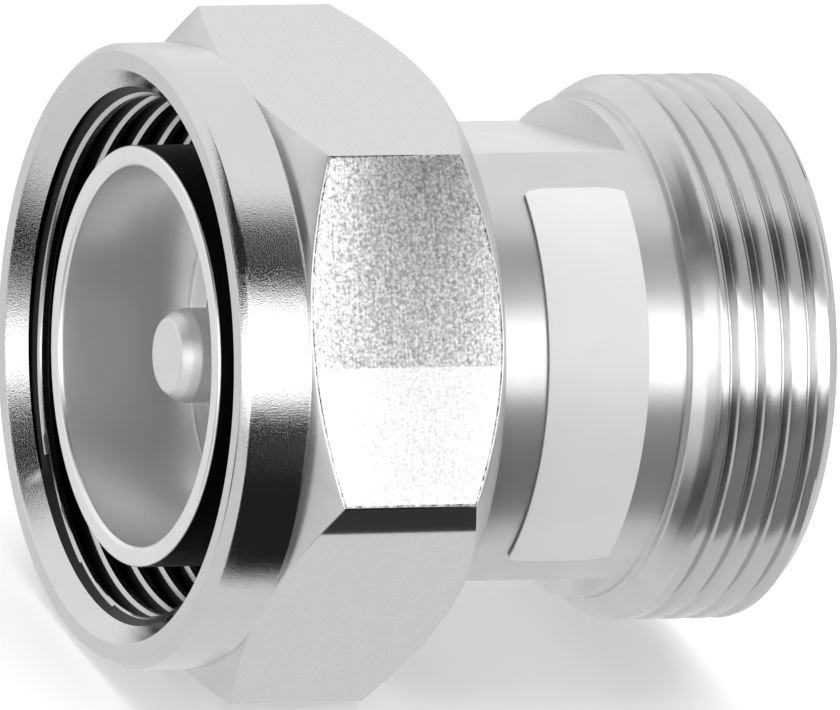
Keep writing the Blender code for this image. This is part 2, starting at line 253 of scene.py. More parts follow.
@dataclass(frozen=True)
class PlatedMetal(Finish):
    """Turned and plated metal: a neutral, slightly milky mirror that lathe marks stretch into bands."""

    spread: float
    marks: TurningMarks = TurningMarks()
    cloud_width: float = 2.5

    def pattern(self, tree: Tree, shader: bpy.types.Node) -> tuple[Socket, Socket]:
        """Adds a cloud that varies the tone and the roughness, and the turning marks.

        Args:
            tree: The node tree to add to.
            shader: The material's shader.

        Returns:
            The share of the shade colour, and the height in metres.
        """
        place = node(tree, "TexCoord").outputs["Object"]
        scale = scale_for(self.cloud_width)
        cloud = node(tree, "TexNoise", {"Vector": place, "Scale": scale, "Detail": 4.0, "Roughness": 0.6})
        low, high = self.roughness - self.spread, self.roughness + self.spread
        rough = node(tree, "MapRange", {0: cloud.outputs["Fac"], 1: 0.3, 2: 0.7, 3: low, 4: high})
        tree.links.new(rough.outputs[0], shader.inputs["Roughness"])
        shader.inputs["Metallic"].default_value = 1.0
        return cloud.outputs["Fac"], self.marks.height(tree)


@dataclass(frozen=True)
class MilledFlat(Finish):
    """Bar stock flats under plating: a crystalline speckle crossed by fine marks square to the axis.

    The speckle is drawn coarser than real, so that it shows.
    """

    grain_width: float
    grain_depth: float
    line_width: float = 0.12
    line_depth: float = 0.002

    def pattern(self, tree: Tree, shader: bpy.types.Node) -> tuple[Socket, Socket]:
        """Adds the speckle, whose pits are the darker, and the draw marks.

        Args:
            tree: The node tree to add to.
            shader: The material's shader.

        Returns:
            The share of the shade colour, and the height in metres.
        """
        place = node(tree, "TexCoord").outputs["Object"]
        stretched = node(tree, "Mapping", {0: place, "Scale": (1.0, 0.10, 0.10)}).outputs[0]
        noises = []
        for vector, width, detail in ((stretched, self.line_width, 2.0), (place, self.grain_width, 3.0)):
            inputs = {"Vector": vector, "Scale": scale_for(width), "Detail": detail, "Roughness": 0.6}
            noises.append(node(tree, "TexNoise", inputs).outputs["Fac"])
        lines, grain = noises
        lined = node(tree, "Math", {0: lines, 1: self.line_depth * MM}, operation="MULTIPLY")
        height = {0: grain, 1: self.grain_depth * MM, 2: lined.outputs[0]}
        mixed = node(tree, "Math", {0: lines, 1: 0.35, 2: grain}, operation="MULTIPLY_ADD")
        pits = node(tree, "MapRange", {0: mixed.outputs[0], 1: 0.50, 2: 0.82, 3: 1.0, 4: 0.0})
        shader.inputs["Metallic"].default_value = 1.0
        return pits.outputs[0], node(tree, "Math", height, operation="MULTIPLY_ADD").outputs[0]


@dataclass(frozen=True)
class Polymer(Finish):
    """A plain polymer or film: soft sheen, with a faint waviness from how it was made."""

    ior: float
    wave_width: float
    wave_depth: float
    let_through: float = 0.0

    def pattern(self, tree: Tree, shader: bpy.types.Node) -> tuple[Socket, Socket]:
        """Adds the waviness, which varies the tone too.

        Args:
            tree: The node tree to add to.
            shader: The material's shader.

        Returns:
            The share of the shade colour, and the height in metres.
        """
        place = node(tree, "TexCoord").outputs["Object"]
        wave = node(tree, "TexNoise", {"Vector": place, "Scale": scale_for(self.wave_width), "Detail": 3.0})
        height = node(tree, "Math", {0: wave.outputs["Fac"], 1: self.wave_depth * MM}, operation="MULTIPLY")
        shader.inputs["IOR"].default_value = self.ior
        shader.inputs["Subsurface Weight"].default_value = self.let_through
        shader.inputs["Subsurface Radius"].default_value = (0.6 * MM, 0.6 * MM, 0.5 * MM)
        shader.inputs["Subsurface Scale"].default_value = 1.0
        return wave.outputs["Fac"], height.outputs[0]


# White bronze is a bright, hard plating that the eye reads as grey silver without silver's warmth.
TURNED_PLATE = PlatedMetal("white_bronze_turned", "#DADADA", "#CFCFCF", 0.34, 0.04)
# The collar is turned with a finer tool, so its reflections have harder edges.
COLLAR_PLATE = PlatedMetal(
    "white_bronze_collar", "#DADADA", "#D0D0D0", 0.08, 0.02, TurningMarks(0.05, 0.0001, 0.07, 0.0100, 0.04)
)
# Threads are rolled bright on their crests; inside the nut the roots and flanks get painted shade instead, from the
# dark grey plate below.
THREAD_PLATE = PlatedMetal(
    "white_bronze_thread", "#CECECE", "#C2C2C2", 0.21, 0.03, TurningMarks(0.06, 0.0004, 0.25, 0.0006, 0.05)
)
# The hexagon keeps the sawn and milled surface of the bar, which the plating turns into sparkle.
MILLED_PLATE = MilledFlat("white_bronze_milled", "#EEEEEE", "#989898", 0.18, 0.18, 0.003)
# The mill's second pass, along the lower part of a flat, leaves a finer grain.
SECOND_PASS = MilledFlat("white_bronze_second_pass", "#F8F8F8", "#D4D4D4", 0.24, 0.18, 0.002)
# The neck's flats are end-milled, and the plating leaves them an even, bright satin.
SATIN_PLATE = PlatedMetal(
    "white_bronze_satin", "#F2F2F2", "#E8E8E8", 0.48, 0.04, TurningMarks(0.08, 0.0004, 0.20, 0.0006, 0.05)
)
# Where a wrench jaw has rubbed, the crystals are pressed flat and the marks lie open.
BURNISHED_PLATE = MilledFlat("white_bronze_burnished", "#DADADA", "#D4D4D4", 0.04, 0.20, 0.0001, 0.12, 0.0001)
# Painted shade: a thin band round the two milled flats, whose near-black shade colour stands for the shade under a torn
# lip that a mill leaves along the edges.
PAINTED_EDGE_SHADE = MilledFlat("white_bronze_painted_edge_shade", "#D8D8D8", "#1C1C1C", 0.45, 0.22, 0.004, 0.3, 0.001)
# Silver plate on the contacts is the whitest of the metals here, and satin from the lathe.
SILVER_PLATE = PlatedMetal(
    "silver_satin", "#F6F6F6", "#ECECEC", 0.34, 0.03, TurningMarks(0.08, 0.0005, 0.20, 0.0006, 0.06)
)
# The pin is turned more coarsely than the contact round it, and looks matt beside it.
PIN_PLATE = PlatedMetal("silver_matt", "#F0F0F0", "#E6E6E6", 0.50, 0.04, TurningMarks(0.10, 0.0008, 0.20, 0.0008, 0.06))
# Painted shade: a dark grey plate that stands for the shade in the narrow gap inside the nut, on the thread's roots and
# flanks and on the outside of the plug contact that the nut covers.
SHADE_PAINTED_PLATE = PlatedMetal(
    "plate_painted_shade", "#343434", "#262626", 0.34, 0.04, TurningMarks(0.10, 0.0008, 0.20, 0.0010, 0.05)
)
# Phosphor bronze strip is a dull pinkish brown.
SPRING_BRONZE = PlatedMetal(
    "phosphor_bronze_strip", "#C99A66", "#A87A4C", 0.34, 0.04, TurningMarks(0.10, 0.0010, 0.20, 0.0010, 0.05)
)
# Silicone seals are moulded matt, in a dark grey.
SILICONE = Polymer("silicone_moulded", "#35363A", "#2A2B2E", 0.55, 1.41, 0.6, 0.004)
# PTFE is a waxy white that lets a little light through.
PTFE = Polymer("ptfe_turned", "#EEEEEC", "#E4E4E2", 0.42, 1.38, 0.8, 0.003, 0.25)
# Matt white polyester film, which lies over the turned neck and shows a little of its waviness.
LABEL_FILM = Polymer("polyester_film_satin", "#EAEAEA", "#E4E4E4", 0.38, 1.5, 2.2, 0.004)


# ---------------------------------------------------------------- modelling


def spin(
    bm: BMesh,
    geometry: Sequence[Any],
    angle: float = math.tau,
    steps: int = STEPS,
    merge: bool = False,
    lead: float = 0.0,
) -> None:
    """Turns geometry round the X axis and adds the surface that it sweeps.

    Args:
        bm: The mesh.
        geometry: The vertices, edges and faces to turn.
        angle: How far they turn.
        steps: The number of facets on the way.
        merge: Whether the end joins the start.
        lead: How far they move along the axis in each step.
    """
    bmesh.ops.spin(
        bm, geom=geometry, cent=(0, 0, 0), axis=(1, 0, 0), dvec=(lead, 0, 0), angle=angle, steps=steps, use_merge=merge
    )


def round_off(
    bm: BMesh,
    geometry: Iterable[Any],
    width: float,
    affect: str = "EDGES",
    segments: int = 2,
    clamp: bool = True,
) -> list[bmesh.types.BMVert]:
    """Rounds edges or corners off.

    Args:
        bm: The mesh.
        geometry: The edges, or the vertices.
        width: The setback.
        affect: "EDGES" or "VERTICES".
        segments: The number of facets across the rounding.
        clamp: Whether the setback shrinks where it has no room.

    Returns:
        The vertices of the rounding.
    """
    made = bmesh.ops.bevel(
        bm,
        geom=list(geometry),
        offset=width,
        offset_type="OFFSET",
        segments=segments,
        profile=0.5,
        affect=affect,
        clamp_overlap=clamp,
        material=-1,
    )
    return made["verts"]


@dataclass(frozen=True)
class ScrewThread:
    """A right-handed metric thread between two stations.

    The limit is an outline that the thread may not pass: a chamfer or a run-out. The fade gives the
    stations between which the groove grows to its full depth.
    """

    side: Side
    start: float
    end: float
    crest_radius: float
    limit: Outline
    fade: tuple[float, float] | None = None
    pitch: float = 1.5
    depth: float = 0.86
    crest_flat: float = 0.20
    root_flat: float = 0.16
    crest_break: float = 0.05
    root_break: float = 0.05
    crown: float = 0.0
    phase: float = 0.0

    def ridge(self) -> list[tuple[float, float]]:
        """One pitch of the profile, from the middle of a crest to the middle of the next.

        Returns:
            Points of (distance, depth below the crest).
        """
        half_crest, half_root = self.crest_flat / 2, self.root_flat / 2
        middle = self.pitch / 2
        half = [
            (0.0, 0.0),
            (half_crest * 0.6, self.crown * 0.3),
            (half_crest, self.crown),
            (half_crest + self.crest_break, self.crown + self.crest_break),
            (middle - half_root - self.root_break, self.depth - self.root_break),
            (middle - half_root, self.depth),
        ]
        return half + [(middle, self.depth)] + [(self.pitch - x, depth) for x, depth in reversed(half)]

    def limit_at(self, x: float) -> float:
        """The limiting radius at a station.

        Args:
            x: The station.

        Returns:
            The radius, straight between the limit's points.
        """
        points = self.limit
        if x <= points[0][0]:
            return points[0][1]
        for (x0, r0), (x1, r1) in zip(points, points[1:]):
            if x <= x1:
                return r0 + (r1 - r0) * (x - x0) / (x1 - x0)
        return points[-1][1]

    def fullness(self, x: float) -> float:
        """How much of its full depth the groove has at a station.

        Args:
            x: The station.

        Returns:
            From 0, where the groove starts, to 1.
        """
        if self.fade is None:
            return 1.0
        low, high = self.fade
        part = min(1.0, max(0.0, (x - low) / (high - low)))
        return part * part * (3 - 2 * part)

    def cut(self, bm: BMesh) -> None:
        """Adds the threaded surface, whose two ends are whole circles at the start and end stations.

        Args:
            bm: The mesh to add to.
        """
        turns = math.ceil((self.end - self.start) / self.pitch) + 2
        first = self.start - 1.5 * self.pitch + self.phase
        sign = self.side.value
        before = set(bm.verts)
        points = [bm.verts.new((first + x, -(self.crest_radius - sign * d), 0.0)) for x, d in self.ridge()]
        edges = [bm.edges.new((a, b)) for a, b in zip(points, points[1:])]
        spin(bm, points + edges, lead=self.pitch / STEPS)
        turn = [v for v in bm.verts if v not in before]
        faces = {f for v in turn for f in v.link_faces}
        for index in range(1, turns):
            edges = {e for f in faces for e in f.edges}
            copy = bmesh.ops.duplicate(bm, geom=[*turn, *edges, *faces])
            moved = [item for item in copy["geom"] if isinstance(item, bmesh.types.BMVert)]
            bmesh.ops.translate(bm, verts=moved, vec=(index * self.pitch, 0, 0))
        fresh = [v for v in bm.verts if v not in before]
        for vert in fresh:
            self.trim(vert)
        bmesh.ops.remove_doubles(bm, verts=fresh, dist=MERGE)

    def trim(self, vert: bmesh.types.BMVert) -> None:
        """Moves a vertex into the thread's band and inside its limit, without turning it round the axis.

        Args:
            vert: The vertex.
        """
        sign = self.side.value
        x = min(self.end, max(self.start, vert.co.x))
        radius = math.hypot(vert.co.y, vert.co.z)
        depth = sign * (self.crest_radius - radius) * self.fullness(vert.co.x)
        wanted = self.crest_radius - sign * depth
        bound = self.limit_at(x)
        if x in (self.start, self.end):
            wanted = bound
        wanted = min(wanted, bound) if self.side is Side.OUTSIDE else max(wanted, bound)
        vert.co = (x, vert.co.y * wanted / radius, vert.co.z * wanted / radius)


def close_up(bm: BMesh) -> None:
    """Merges doubles, removes faces without an area and turns every face outwards.

    Args:
        bm: The mesh.
    """
    bmesh.ops.remove_doubles(bm, verts=bm.verts, dist=MERGE)
    bmesh.ops.dissolve_degenerate(bm, edges=bm.edges, dist=MERGE / 2)
    bmesh.ops.recalc_face_normals(bm, faces=bm.faces)


def turned(
    outline: Outline,
    soften: float,
    closed: bool = True,
    steps: int = STEPS,
    keep: Iterable[int] = (),
    thread: ScrewThread | None = None,
) -> BMesh:
    """Turns an outline round the X axis.

    Args:
        outline: The (x, radius) points.
        soften: The setback that rounds the outline's corners off.
        closed: Whether the last point joins the first.
        steps: The number of facets round the circle.
        keep: Indices of the points that stay sharp.
        thread: The screw thread that joins the outline's ends.

    Returns:
        The closed shape.
    """
    bm = bmesh.new()
    points = [bm.verts.new((x, -r, 0.0)) for x, r in outline]
    following = points[1:] + points[:1] if closed else points[1:]
    for pair in zip(points, following):
        bm.edges.new(pair)
    kept = set(keep) | (set() if closed else {0, len(points) - 1})
    corners = [p for i, p in enumerate(points) if i not in kept and outline[i][1] > 0]
    rounding = set(round_off(bm, corners, soften, "VERTICES"))
    for edge in [edge for edge in bm.edges if edge.calc_length() > 5 * GUARD]:
        for vert in [vert for vert in edge.verts if vert in rounding]:
            bmesh.utils.edge_split(edge, vert, GUARD / edge.calc_length())
    spin(bm, bm.verts[:] + bm.edges[:], steps=steps, merge=True)
    if thread:
        thread.cut(bm)
    close_up(bm)
    return bm


def part_ring(start: float, width: float, radii: tuple[float, float], angle: float, steps: int, soften: float) -> BMesh:
    """Turns a rectangle part of the way round the X axis.

    Args:
        start: The station of its front.
        width: Its size along the axis.
        radii: Its inner and outer radius.
        angle: How far it turns.
        steps: The number of facets on the way.
        soften: The setback that rounds the rectangle's corners off, or 0.

    Returns:
        The shape, with open ends closed.
    """
    inner, outer = radii
    bm = bmesh.new()
    corners = ((start, inner), (start, outer), (start + width, outer), (start + width, inner))
    face = bm.faces.new([bm.verts.new((x, -r, 0.0)) for x, r in corners])
    if soften:
        round_off(bm, face.verts[:], soften, "VERTICES")
    spin(bm, bm.verts[:] + bm.edges[:] + bm.faces[:], angle, steps)
    return bm


def to_object(bm: BMesh, name: str, scale: float = MM) -> Object:
    """Turns a shape into an object of the scene.

    Args:
        bm: The shape, which is freed.
        name: The object's name.
        scale: The length of the shape's unit in metres.

    Returns:
        The object.
    """
    bmesh.ops.scale(bm, vec=(scale, scale, scale), verts=bm.verts)
    mesh = bpy.data.meshes.new(name)
    bm.to_mesh(mesh)
    bm.free()
    obj = bpy.data.objects.new(name, mesh)
    bpy.context.scene.collection.objects.link(obj)
    return obj


def subtract(bm: BMesh, tools: Sequence[BMesh]) -> BMesh:
    """Cuts closed shapes away from a closed shape.

    Args:
        bm: The shape to cut, which is freed.
        tools: The shapes to take away, which are freed.

    Returns:
        The shape that is left.
    """
    objects = [to_object(shape, f"cut_{index}", 1.0) for index, shape in enumerate([bm, *tools])]
    for tool in objects[1:]:
        boolean = objects[0].modifiers.new(tool.name, "BOOLEAN")
        boolean.operation = "DIFFERENCE"
        boolean.solver = "EXACT"
        boolean.object = tool
    bpy.context.view_layer.update()
    graph = bpy.context.evaluated_depsgraph_get()
    evaluated = objects[0].evaluated_get(graph)
    left = bmesh.new()
    left.from_mesh(evaluated.to_mesh())
    evaluated.to_mesh_clear()
    for obj in objects:
        bpy.data.objects.remove(obj)
    return left


def block(length: float, width: float, height: float, at: Matrix) -> BMesh:
    """A box centred on a placement.

    Args:
        length: Its size along X.
        width: Its size along Y.
        height: Its size along Z.
        at: The placement.

    Returns:
        The box.
    """
    bm = bmesh.new()
    bmesh.ops.create_cube(bm, size=1, matrix=at @ Matrix.Diagonal((length, width, height, 1)))
    return bm


def is_sharp(edge: bmesh.types.BMEdge, angle: float = SHARP_ANGLE) -> bool:
    """True where the two faces at the edge meet at more than the given angle."""
    return len(edge.link_faces) == 2 and edge.calc_face_angle(0.0) > angle


# ---------------------------------------------------------------- pieces


@dataclass
class Stations:
    """Places along the axis that more than one piece starts or ends at."""

    nut_front: float = -17.7
    rim: float = -16.77
    plug_floor: float = -9.27
    gasket_front: float = -8.5
    spigot_front: float = -7.3
    body_front: float = -7.0
    snap_ring_front: float = -6.0
    flange_front: float = -4.7
    spigot_end: float = -2.7
    captive_bead_front: float = -2.4
    neck_front: float = -2.0
    socket_front: float = 0.6
    step: float = 2.1
    flats_end: float = 8.1
    neck_end: float = 9.15
    jack_groove_floor: float = 9.3
    socket_end: float = 16.2
    sleeve_end: float = 16.4
    jack_end: float = 17.7


@dataclass
class Piece(ABC):
    """A piece of the adapter, which stands for one CAD node and moves with one body."""

    at: Stations = field(default_factory=Stations)
    node_name: str = ""
    body: Body = Body.ADAPTER
    slot: Slot = Slot.PLATE
    finishes: tuple[Finish, ...] = (TURNED_PLATE,)

    @abstractmethod
    def shape(self) -> BMesh:
        """Builds the closed shape in millimetres."""

    def finish_of(self, face: bpy.types.MeshPolygon) -> Finish:
        """Picks the finish of a face."""
        return self.finishes[0]

    def dress(self, obj: Object) -> None:
        """Gives the object its materials, face by face.

        Args:
            obj: The piece's object.
        """
        for finish in self.finishes:
            obj.data.materials.append(finish.material())
        for face in obj.data.polygons:
            face.material_index = self.finishes.index(self.finish_of(face))

    def build(self) -> Object:
        """Builds the finished object and ties it to the frame.

        Returns:
            The object, with its place in its mesh.
        """
        obj = to_object(self.shape(), self.node_name + "_fine")
        mesh = obj.data
        mesh.shade_smooth()
        mesh.set_sharp_from_angle(angle=SHARP_ANGLE)
        for face in mesh.polygons:
            if len(face.vertices) > FLAT_CORNERS or face.area > FLAT_AREA * MM * MM:
                face.use_smooth = False
        self.dress(obj)
        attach(obj, self.body.value)
        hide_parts(self.node_name)
        mesh.calc_loop_triangles()
        log.info("%s: %d triangles", obj.name, len(mesh.loop_triangles))
        return obj


def place_of(face: bpy.types.MeshPolygon) -> tuple[float, float]:
    """Gives the station and the radius of a face's centre in millimetres."""
    return face.center.x / MM, math.hypot(face.center.y, face.center.z) / MM


@dataclass
class CouplingNut(Piece):
    """The nut: a round collar, a bevelled hexagon, a threaded bore, a relief and a rear flange."""

    node_name: str = "coupling_nut"
    body: Body = Body.NUT
    finishes: tuple[Finish, ...] = (
        COLLAR_PLATE,
        MILLED_PLATE,
        THREAD_PLATE,
        TURNED_PLATE,
        BURNISHED_PLATE,
        PAINTED_EDGE_SHADE,
        SHADE_PAINTED_PLATE,
        SECOND_PASS,
    )
    length: float = 15.4
    thread_crest: float = 13.7
    mouth: float = 15.2
    collar: float = 16.5
    collar_length: float = 3.9
    front_break: float = 0.45
    across_flats: float = 32.0
    groove_width: float = 0.15
    groove_depth: float = 0.10
    front_bevel: float = math.radians(30)
    rear_bevel: float = math.radians(38.5)
    rear_face: float = 15.6
    flange_thickness: float = 2.4
    flange_bore: float = 12.7
    relief: float = 14.7
    relief_length: float = 3.8
    thread_start: float = 1.0
    edge: float = 0.07
    shaded_edge_width: float = 0.10
    pass_edge: float = -1.9
    milled_area: float = 50.0
    bright_crest: float = 0.13

    def shape(self) -> BMesh:
        """Builds the nut.

        Returns:
            The closed shape.
        """
        flat = self.across_flats / 2
        blank = flat / math.cos(math.pi / 6) * 1.02
        groove = flat - self.groove_depth
        bevel_start = self.collar_length + self.groove_width
        bevel_end = bevel_start + (blank - groove) * math.tan(self.front_bevel)
        rear_start = self.length - (blank - self.rear_face) * math.tan(self.rear_bevel)
        flange_front = self.length - self.flange_thickness
        relief_front = flange_front - self.relief_length
        cone_start = relief_front - (self.relief - self.thread_crest)
        thread_end = relief_front - 0.05
        outline = [
            (self.thread_start, self.mouth - self.thread_start),
            (0, self.mouth),
            (0, self.collar - self.front_break),
            (self.front_break, self.collar),
            (self.collar_length, self.collar),
            (self.collar_length, groove),
            (bevel_start, groove),
            (bevel_end, blank),
            (rear_start, blank),
            (self.length, self.rear_face),
            (self.length, self.flange_bore + 0.25),
            (self.length - 0.25, self.flange_bore),
            (flange_front, self.flange_bore),
            (flange_front, self.relief),
            (relief_front, self.relief),
            (thread_end, self.relief - 0.05),
        ]
        front = self.at.nut_front
        limit = [
            (front, self.mouth),
            (front + self.mouth - self.thread_crest, self.thread_crest),
            (front + cone_start, self.thread_crest),
            (front + relief_front, self.relief),
        ]
        thread = ScrewThread(
            Side.INSIDE,
            front + self.thread_start,
            front + thread_end,
            self.thread_crest,
            limit,
            crest_flat=0.34,
            crest_break=0.18,
            phase=0.83,
        )
        placed = [(front + x, r) for x, r in outline]
        bm = turned(placed, closed=False, soften=self.edge, keep=(6, 7, 8), thread=thread)
        self.mill_hexagon(bm, front + self.collar_length + self.groove_width / 2)
        return bm

    def mill_hexagon(self, bm: BMesh, start: float) -> None:
        """Cuts the six flats into the part of the nut behind the collar, breaks their edges, and insets a band of
        painted edge shade round the two milled flats.

        Args:
            bm: The nut.
            start: The station that the flats are cut from.
        """
        flat = self.across_flats / 2
        for index in range(6):
            angle = math.pi * index / 3
            outward = Vector((0, math.sin(angle), math.cos(angle)))
            faces = [f for f in bm.faces if f.calc_center_median().x > start and self.is_outer(f)]
            geometry = set(faces)
            for face in faces:
                geometry.update(face.edges)
                geometry.update(face.verts)
            cut = bmesh.ops.bisect_plane(
                bm, geom=list(geometry), dist=PLANE_MERGE, plane_co=outward * flat, plane_no=outward, clear_outer=True
            )
            rim = [e for e in cut["geom_cut"] if isinstance(e, bmesh.types.BMEdge) and e.is_boundary]
            bmesh.ops.edgeloop_fill(bm, edges=rim, mat_nr=0)
        bmesh.ops.recalc_face_normals(bm, faces=bm.faces)
        flats = [f for f in bm.faces if len(f.verts) > FLAT_CORNERS and abs(f.normal.x) < 0.01]
        edges = {e for f in flats for e in f.edges if is_sharp(e, math.radians(15))}
        round_off(bm, edges, self.edge)
        # The inset band round each milled flat carries the painted edge shade.
        shaded_rims = [f for f in bm.faces if len(f.verts) > FLAT_CORNERS and self.is_milled(f.normal)]
        bmesh.ops.inset_individual(bm, faces=shaded_rims, thickness=self.shaded_edge_width, use_even_offset=True)
        for face in [f for f in bm.faces if f.calc_area() > self.milled_area and self.is_milled(f.normal)]:
            bmesh.ops.bisect_plane(
                bm,
                geom=[face, *face.edges, *face.verts],
                dist=PLANE_MERGE,
                plane_co=FLAT_RISE * self.pass_edge,
                plane_no=FLAT_RISE,
            )

    @staticmethod
    def is_milled(normal: Vector) -> bool:
        """True for the pair of opposite flats that keep their milled surface."""
        return abs(normal.x) < 0.02 and normal.y * normal.z < -0.3 and abs(normal.y) > 0.8

    def is_outer(self, face: bmesh.types.BMFace) -> bool:
        """True for a face on the outside of the hexagon's blank."""
        centre = face.calc_center_median()
        return math.hypot(centre.y, centre.z) > self.relief + 0.3

    def finish_of(self, face: bpy.types.MeshPolygon) -> Finish:
        """Picks the finish of a face of the bore, the collar, the bevels or the flats.

        Args:
            face: The face.

        Returns:
            The finish.
        """
        x, radius = place_of(face)
        x -= self.at.nut_front
        if radius < self.mouth and x >= self.thread_start:
            # Inside the nut only the thread's crests keep their plate; the roots and flanks get painted shade.
            return THREAD_PLATE if abs(radius - self.thread_crest) < self.bright_crest else SHADE_PAINTED_PLATE
        if radius < self.mouth or x <= self.collar_length + self.groove_width / 2:
            return COLLAR_PLATE
        if abs(face.normal.x) >= 0.02:
            return TURNED_PLATE
        if not self.is_milled(face.normal):
            return BURNISHED_PLATE
        # The small faces round a milled flat are the band of painted edge shade.
        if face.area <= self.milled_area * MM * MM:
            return PAINTED_EDGE_SHADE
        return SECOND_PASS if face.center.dot(FLAT_RISE) < self.pass_edge * MM else MILLED_PLATE


@dataclass
class AdapterBody(Piece):
    """The body: journal and snap ring groove, neck with two flats, threaded jack and bores."""

    node_name: str = "adapter_body"
    finishes: tuple[Finish, ...] = (TURNED_PLATE, THREAD_PLATE, SATIN_PLATE)
    journal: float = 12.5
    groove: float = 11.4
    groove_wall: float = 0.7
    counterbore: float = 9.8
    neck: float = 13.25
    flat: float = 11.35
    flat_turn: float = math.radians(-18.5)
    thread: float = 14.5
    shoulder_length: float = 1.50
    end_break: float = 0.85
    ring_groove: float = 11.25
    sleeve_bore: float = 9.3
    mouth_break: float = 0.5
    edge: float = 0.08
    flat_edge: float = 0.05

    def shape(self) -> BMesh:
        """Builds the body.

        Returns:
            The closed shape.
        """
        at = self.at
        band_start = at.neck_end + self.shoulder_length
        thread_start = band_start + 0.15
        thread_end = at.jack_end - 0.12
        chamfer = at.jack_end - self.end_break
        outline = [
            (thread_end, self.thread - self.end_break + 0.12),
            (at.jack_end, self.thread - self.end_break),
            (at.jack_end, self.ring_groove + self.mouth_break),
            (at.jack_end - self.mouth_break, self.ring_groove),
            (at.jack_groove_floor, self.ring_groove),
            (at.jack_groove_floor, self.sleeve_bore),
            (at.step, self.sleeve_bore),
            (at.step, self.counterbore),
            (at.body_front, self.counterbore),
            (at.body_front, self.journal),
            (at.body_front + self.groove_wall, self.journal),
            (at.body_front + self.groove_wall, self.groove),
            (at.flange_front, self.groove),
            (at.flange_front, self.journal),
            (at.neck_front, self.journal),
            (at.neck_front, self.neck),
            (at.neck_end, self.neck),
            (at.neck_end + 0.12, self.neck + 0.40),
            (at.neck_end + 0.75, self.neck + 0.92),
            (band_start - 0.20, self.thread - 0.05),
            (band_start, self.thread),
            (thread_start, self.thread),
        ]
        limit = [(chamfer, self.thread), (at.jack_end, self.thread - self.end_break)]
        thread = ScrewThread(
            Side.OUTSIDE,
            thread_start,
            thread_end,
            self.thread,
            limit,
            fade=(band_start, band_start + 0.4),
            crest_flat=0.84,
            root_flat=0.08,
            depth=0.46,
            crown=0.03,
            phase=0.66,
        )
        return self.mill_flats(turned(outline, closed=False, soften=self.edge, thread=thread))

    def is_flat(self, normal: Vector, area: float) -> bool:
        """True for a wrench flat, from its normal and its area in square millimetres."""
        across = Vector((0, math.sin(-self.flat_turn), math.cos(self.flat_turn)))
        return abs(normal.dot(across)) > 0.9999 and area > FLAT_AREA

    def mill_flats(self, bm: BMesh) -> BMesh:
        """Cuts the two wrench flats into the neck and breaks their edges.

        Args:
            bm: The turned body, which is freed.

        Returns:
            The body with its flats.
        """
        start = self.at.neck_front - 0.1
        middle = (start + self.at.flats_end) / 2
        turn = Matrix.Rotation(self.flat_turn, 4, "X")
        tools = []
        for side in (1, -1):
            lift = Matrix.Translation((middle, 0, side * (self.flat + 3)))
            tools.append(block(self.at.flats_end - start, 30, 6, turn @ lift))
        milled = subtract(bm, tools)
        flats = [f for f in milled.faces if self.is_flat(f.normal, f.calc_area())]
        round_off(milled, {e for f in flats for e in f.edges if is_sharp(e)}, self.flat_edge)
        return milled

    def finish_of(self, face: bpy.types.MeshPolygon) -> Finish:
        """Picks the finish of a face of the neck, the thread or the flats.

        Args:
            face: The face.

        Returns:
            The finish.
        """
        x, radius = place_of(face)
        is_flat_end = face.normal.x < -0.99 and abs(x - self.at.flats_end) < 0.1 and radius > self.flat
        if is_flat_end or (radius < self.neck and self.is_flat(face.normal, face.area / MM / MM)):
            return SATIN_PLATE
        is_thread = x > self.at.neck_end + self.shoulder_length and radius > self.ring_groove + 0.6
        return THREAD_PLATE if is_thread else TURNED_PLATE


@dataclass
class TurnedPiece(Piece):
    """A piece that is one outline turned round the axis."""

    slot: Slot = Slot.SILVER
    finishes: tuple[Finish, ...] = (SILVER_PLATE,)
    edge: float = 0.06
    steps: int = STEPS

    @abstractmethod
    def outline(self) -> Outline:
        """Gives the outline's (x, radius) points."""

    def shape(self) -> BMesh:
        """Turns the outline.

        Returns:
            The closed shape.
        """
        outline = self.outline()
        return turned(outline, closed=outline[0][1] > 0, soften=self.edge, steps=self.steps)


@dataclass
class PlugContact(TurnedPiece):
    """The plug's thin-walled outer contact, with the spigot that fixes it in the body."""

    node_name: str = "plug_outer_contact"
    finishes: tuple[Finish, ...] = (SILVER_PLATE, SHADE_PAINTED_PLATE)
    outer: float = 11.1
    bore: float = 10.0
    lead_in: float = 0.18
    rim_break: float = 0.1
    spigot: float = 9.5
    line: float = 8.0

    def outline(self) -> Outline:
        """Gives the outline.

        Returns:
            The points, from the rim's lead-in round the outside and back through the bore.
        """
        at = self.at
        return [
            (at.rim, self.bore + self.lead_in),
            (at.rim, self.outer - self.rim_break),
            (at.rim + self.rim_break, self.outer),
            (at.spigot_front, self.outer),
            (at.spigot_front, self.spigot),
            (at.spigot_end, self.spigot),
            (at.spigot_end, self.line),
            (at.plug_floor, self.line),
            (at.plug_floor, self.bore),
            (at.rim + self.lead_in, self.bore),
        ]

    def finish_of(self, face: bpy.types.MeshPolygon) -> Finish:
        """Picks silver plate, with painted shade in dark grey on the outside that the nut covers.

        Args:
            face: The face.

        Returns:
            The finish.
        """
        x, radius = place_of(face)
        return SHADE_PAINTED_PLATE if x > self.at.rim + 0.15 and radius > self.outer - 0.05 else SILVER_PLATE


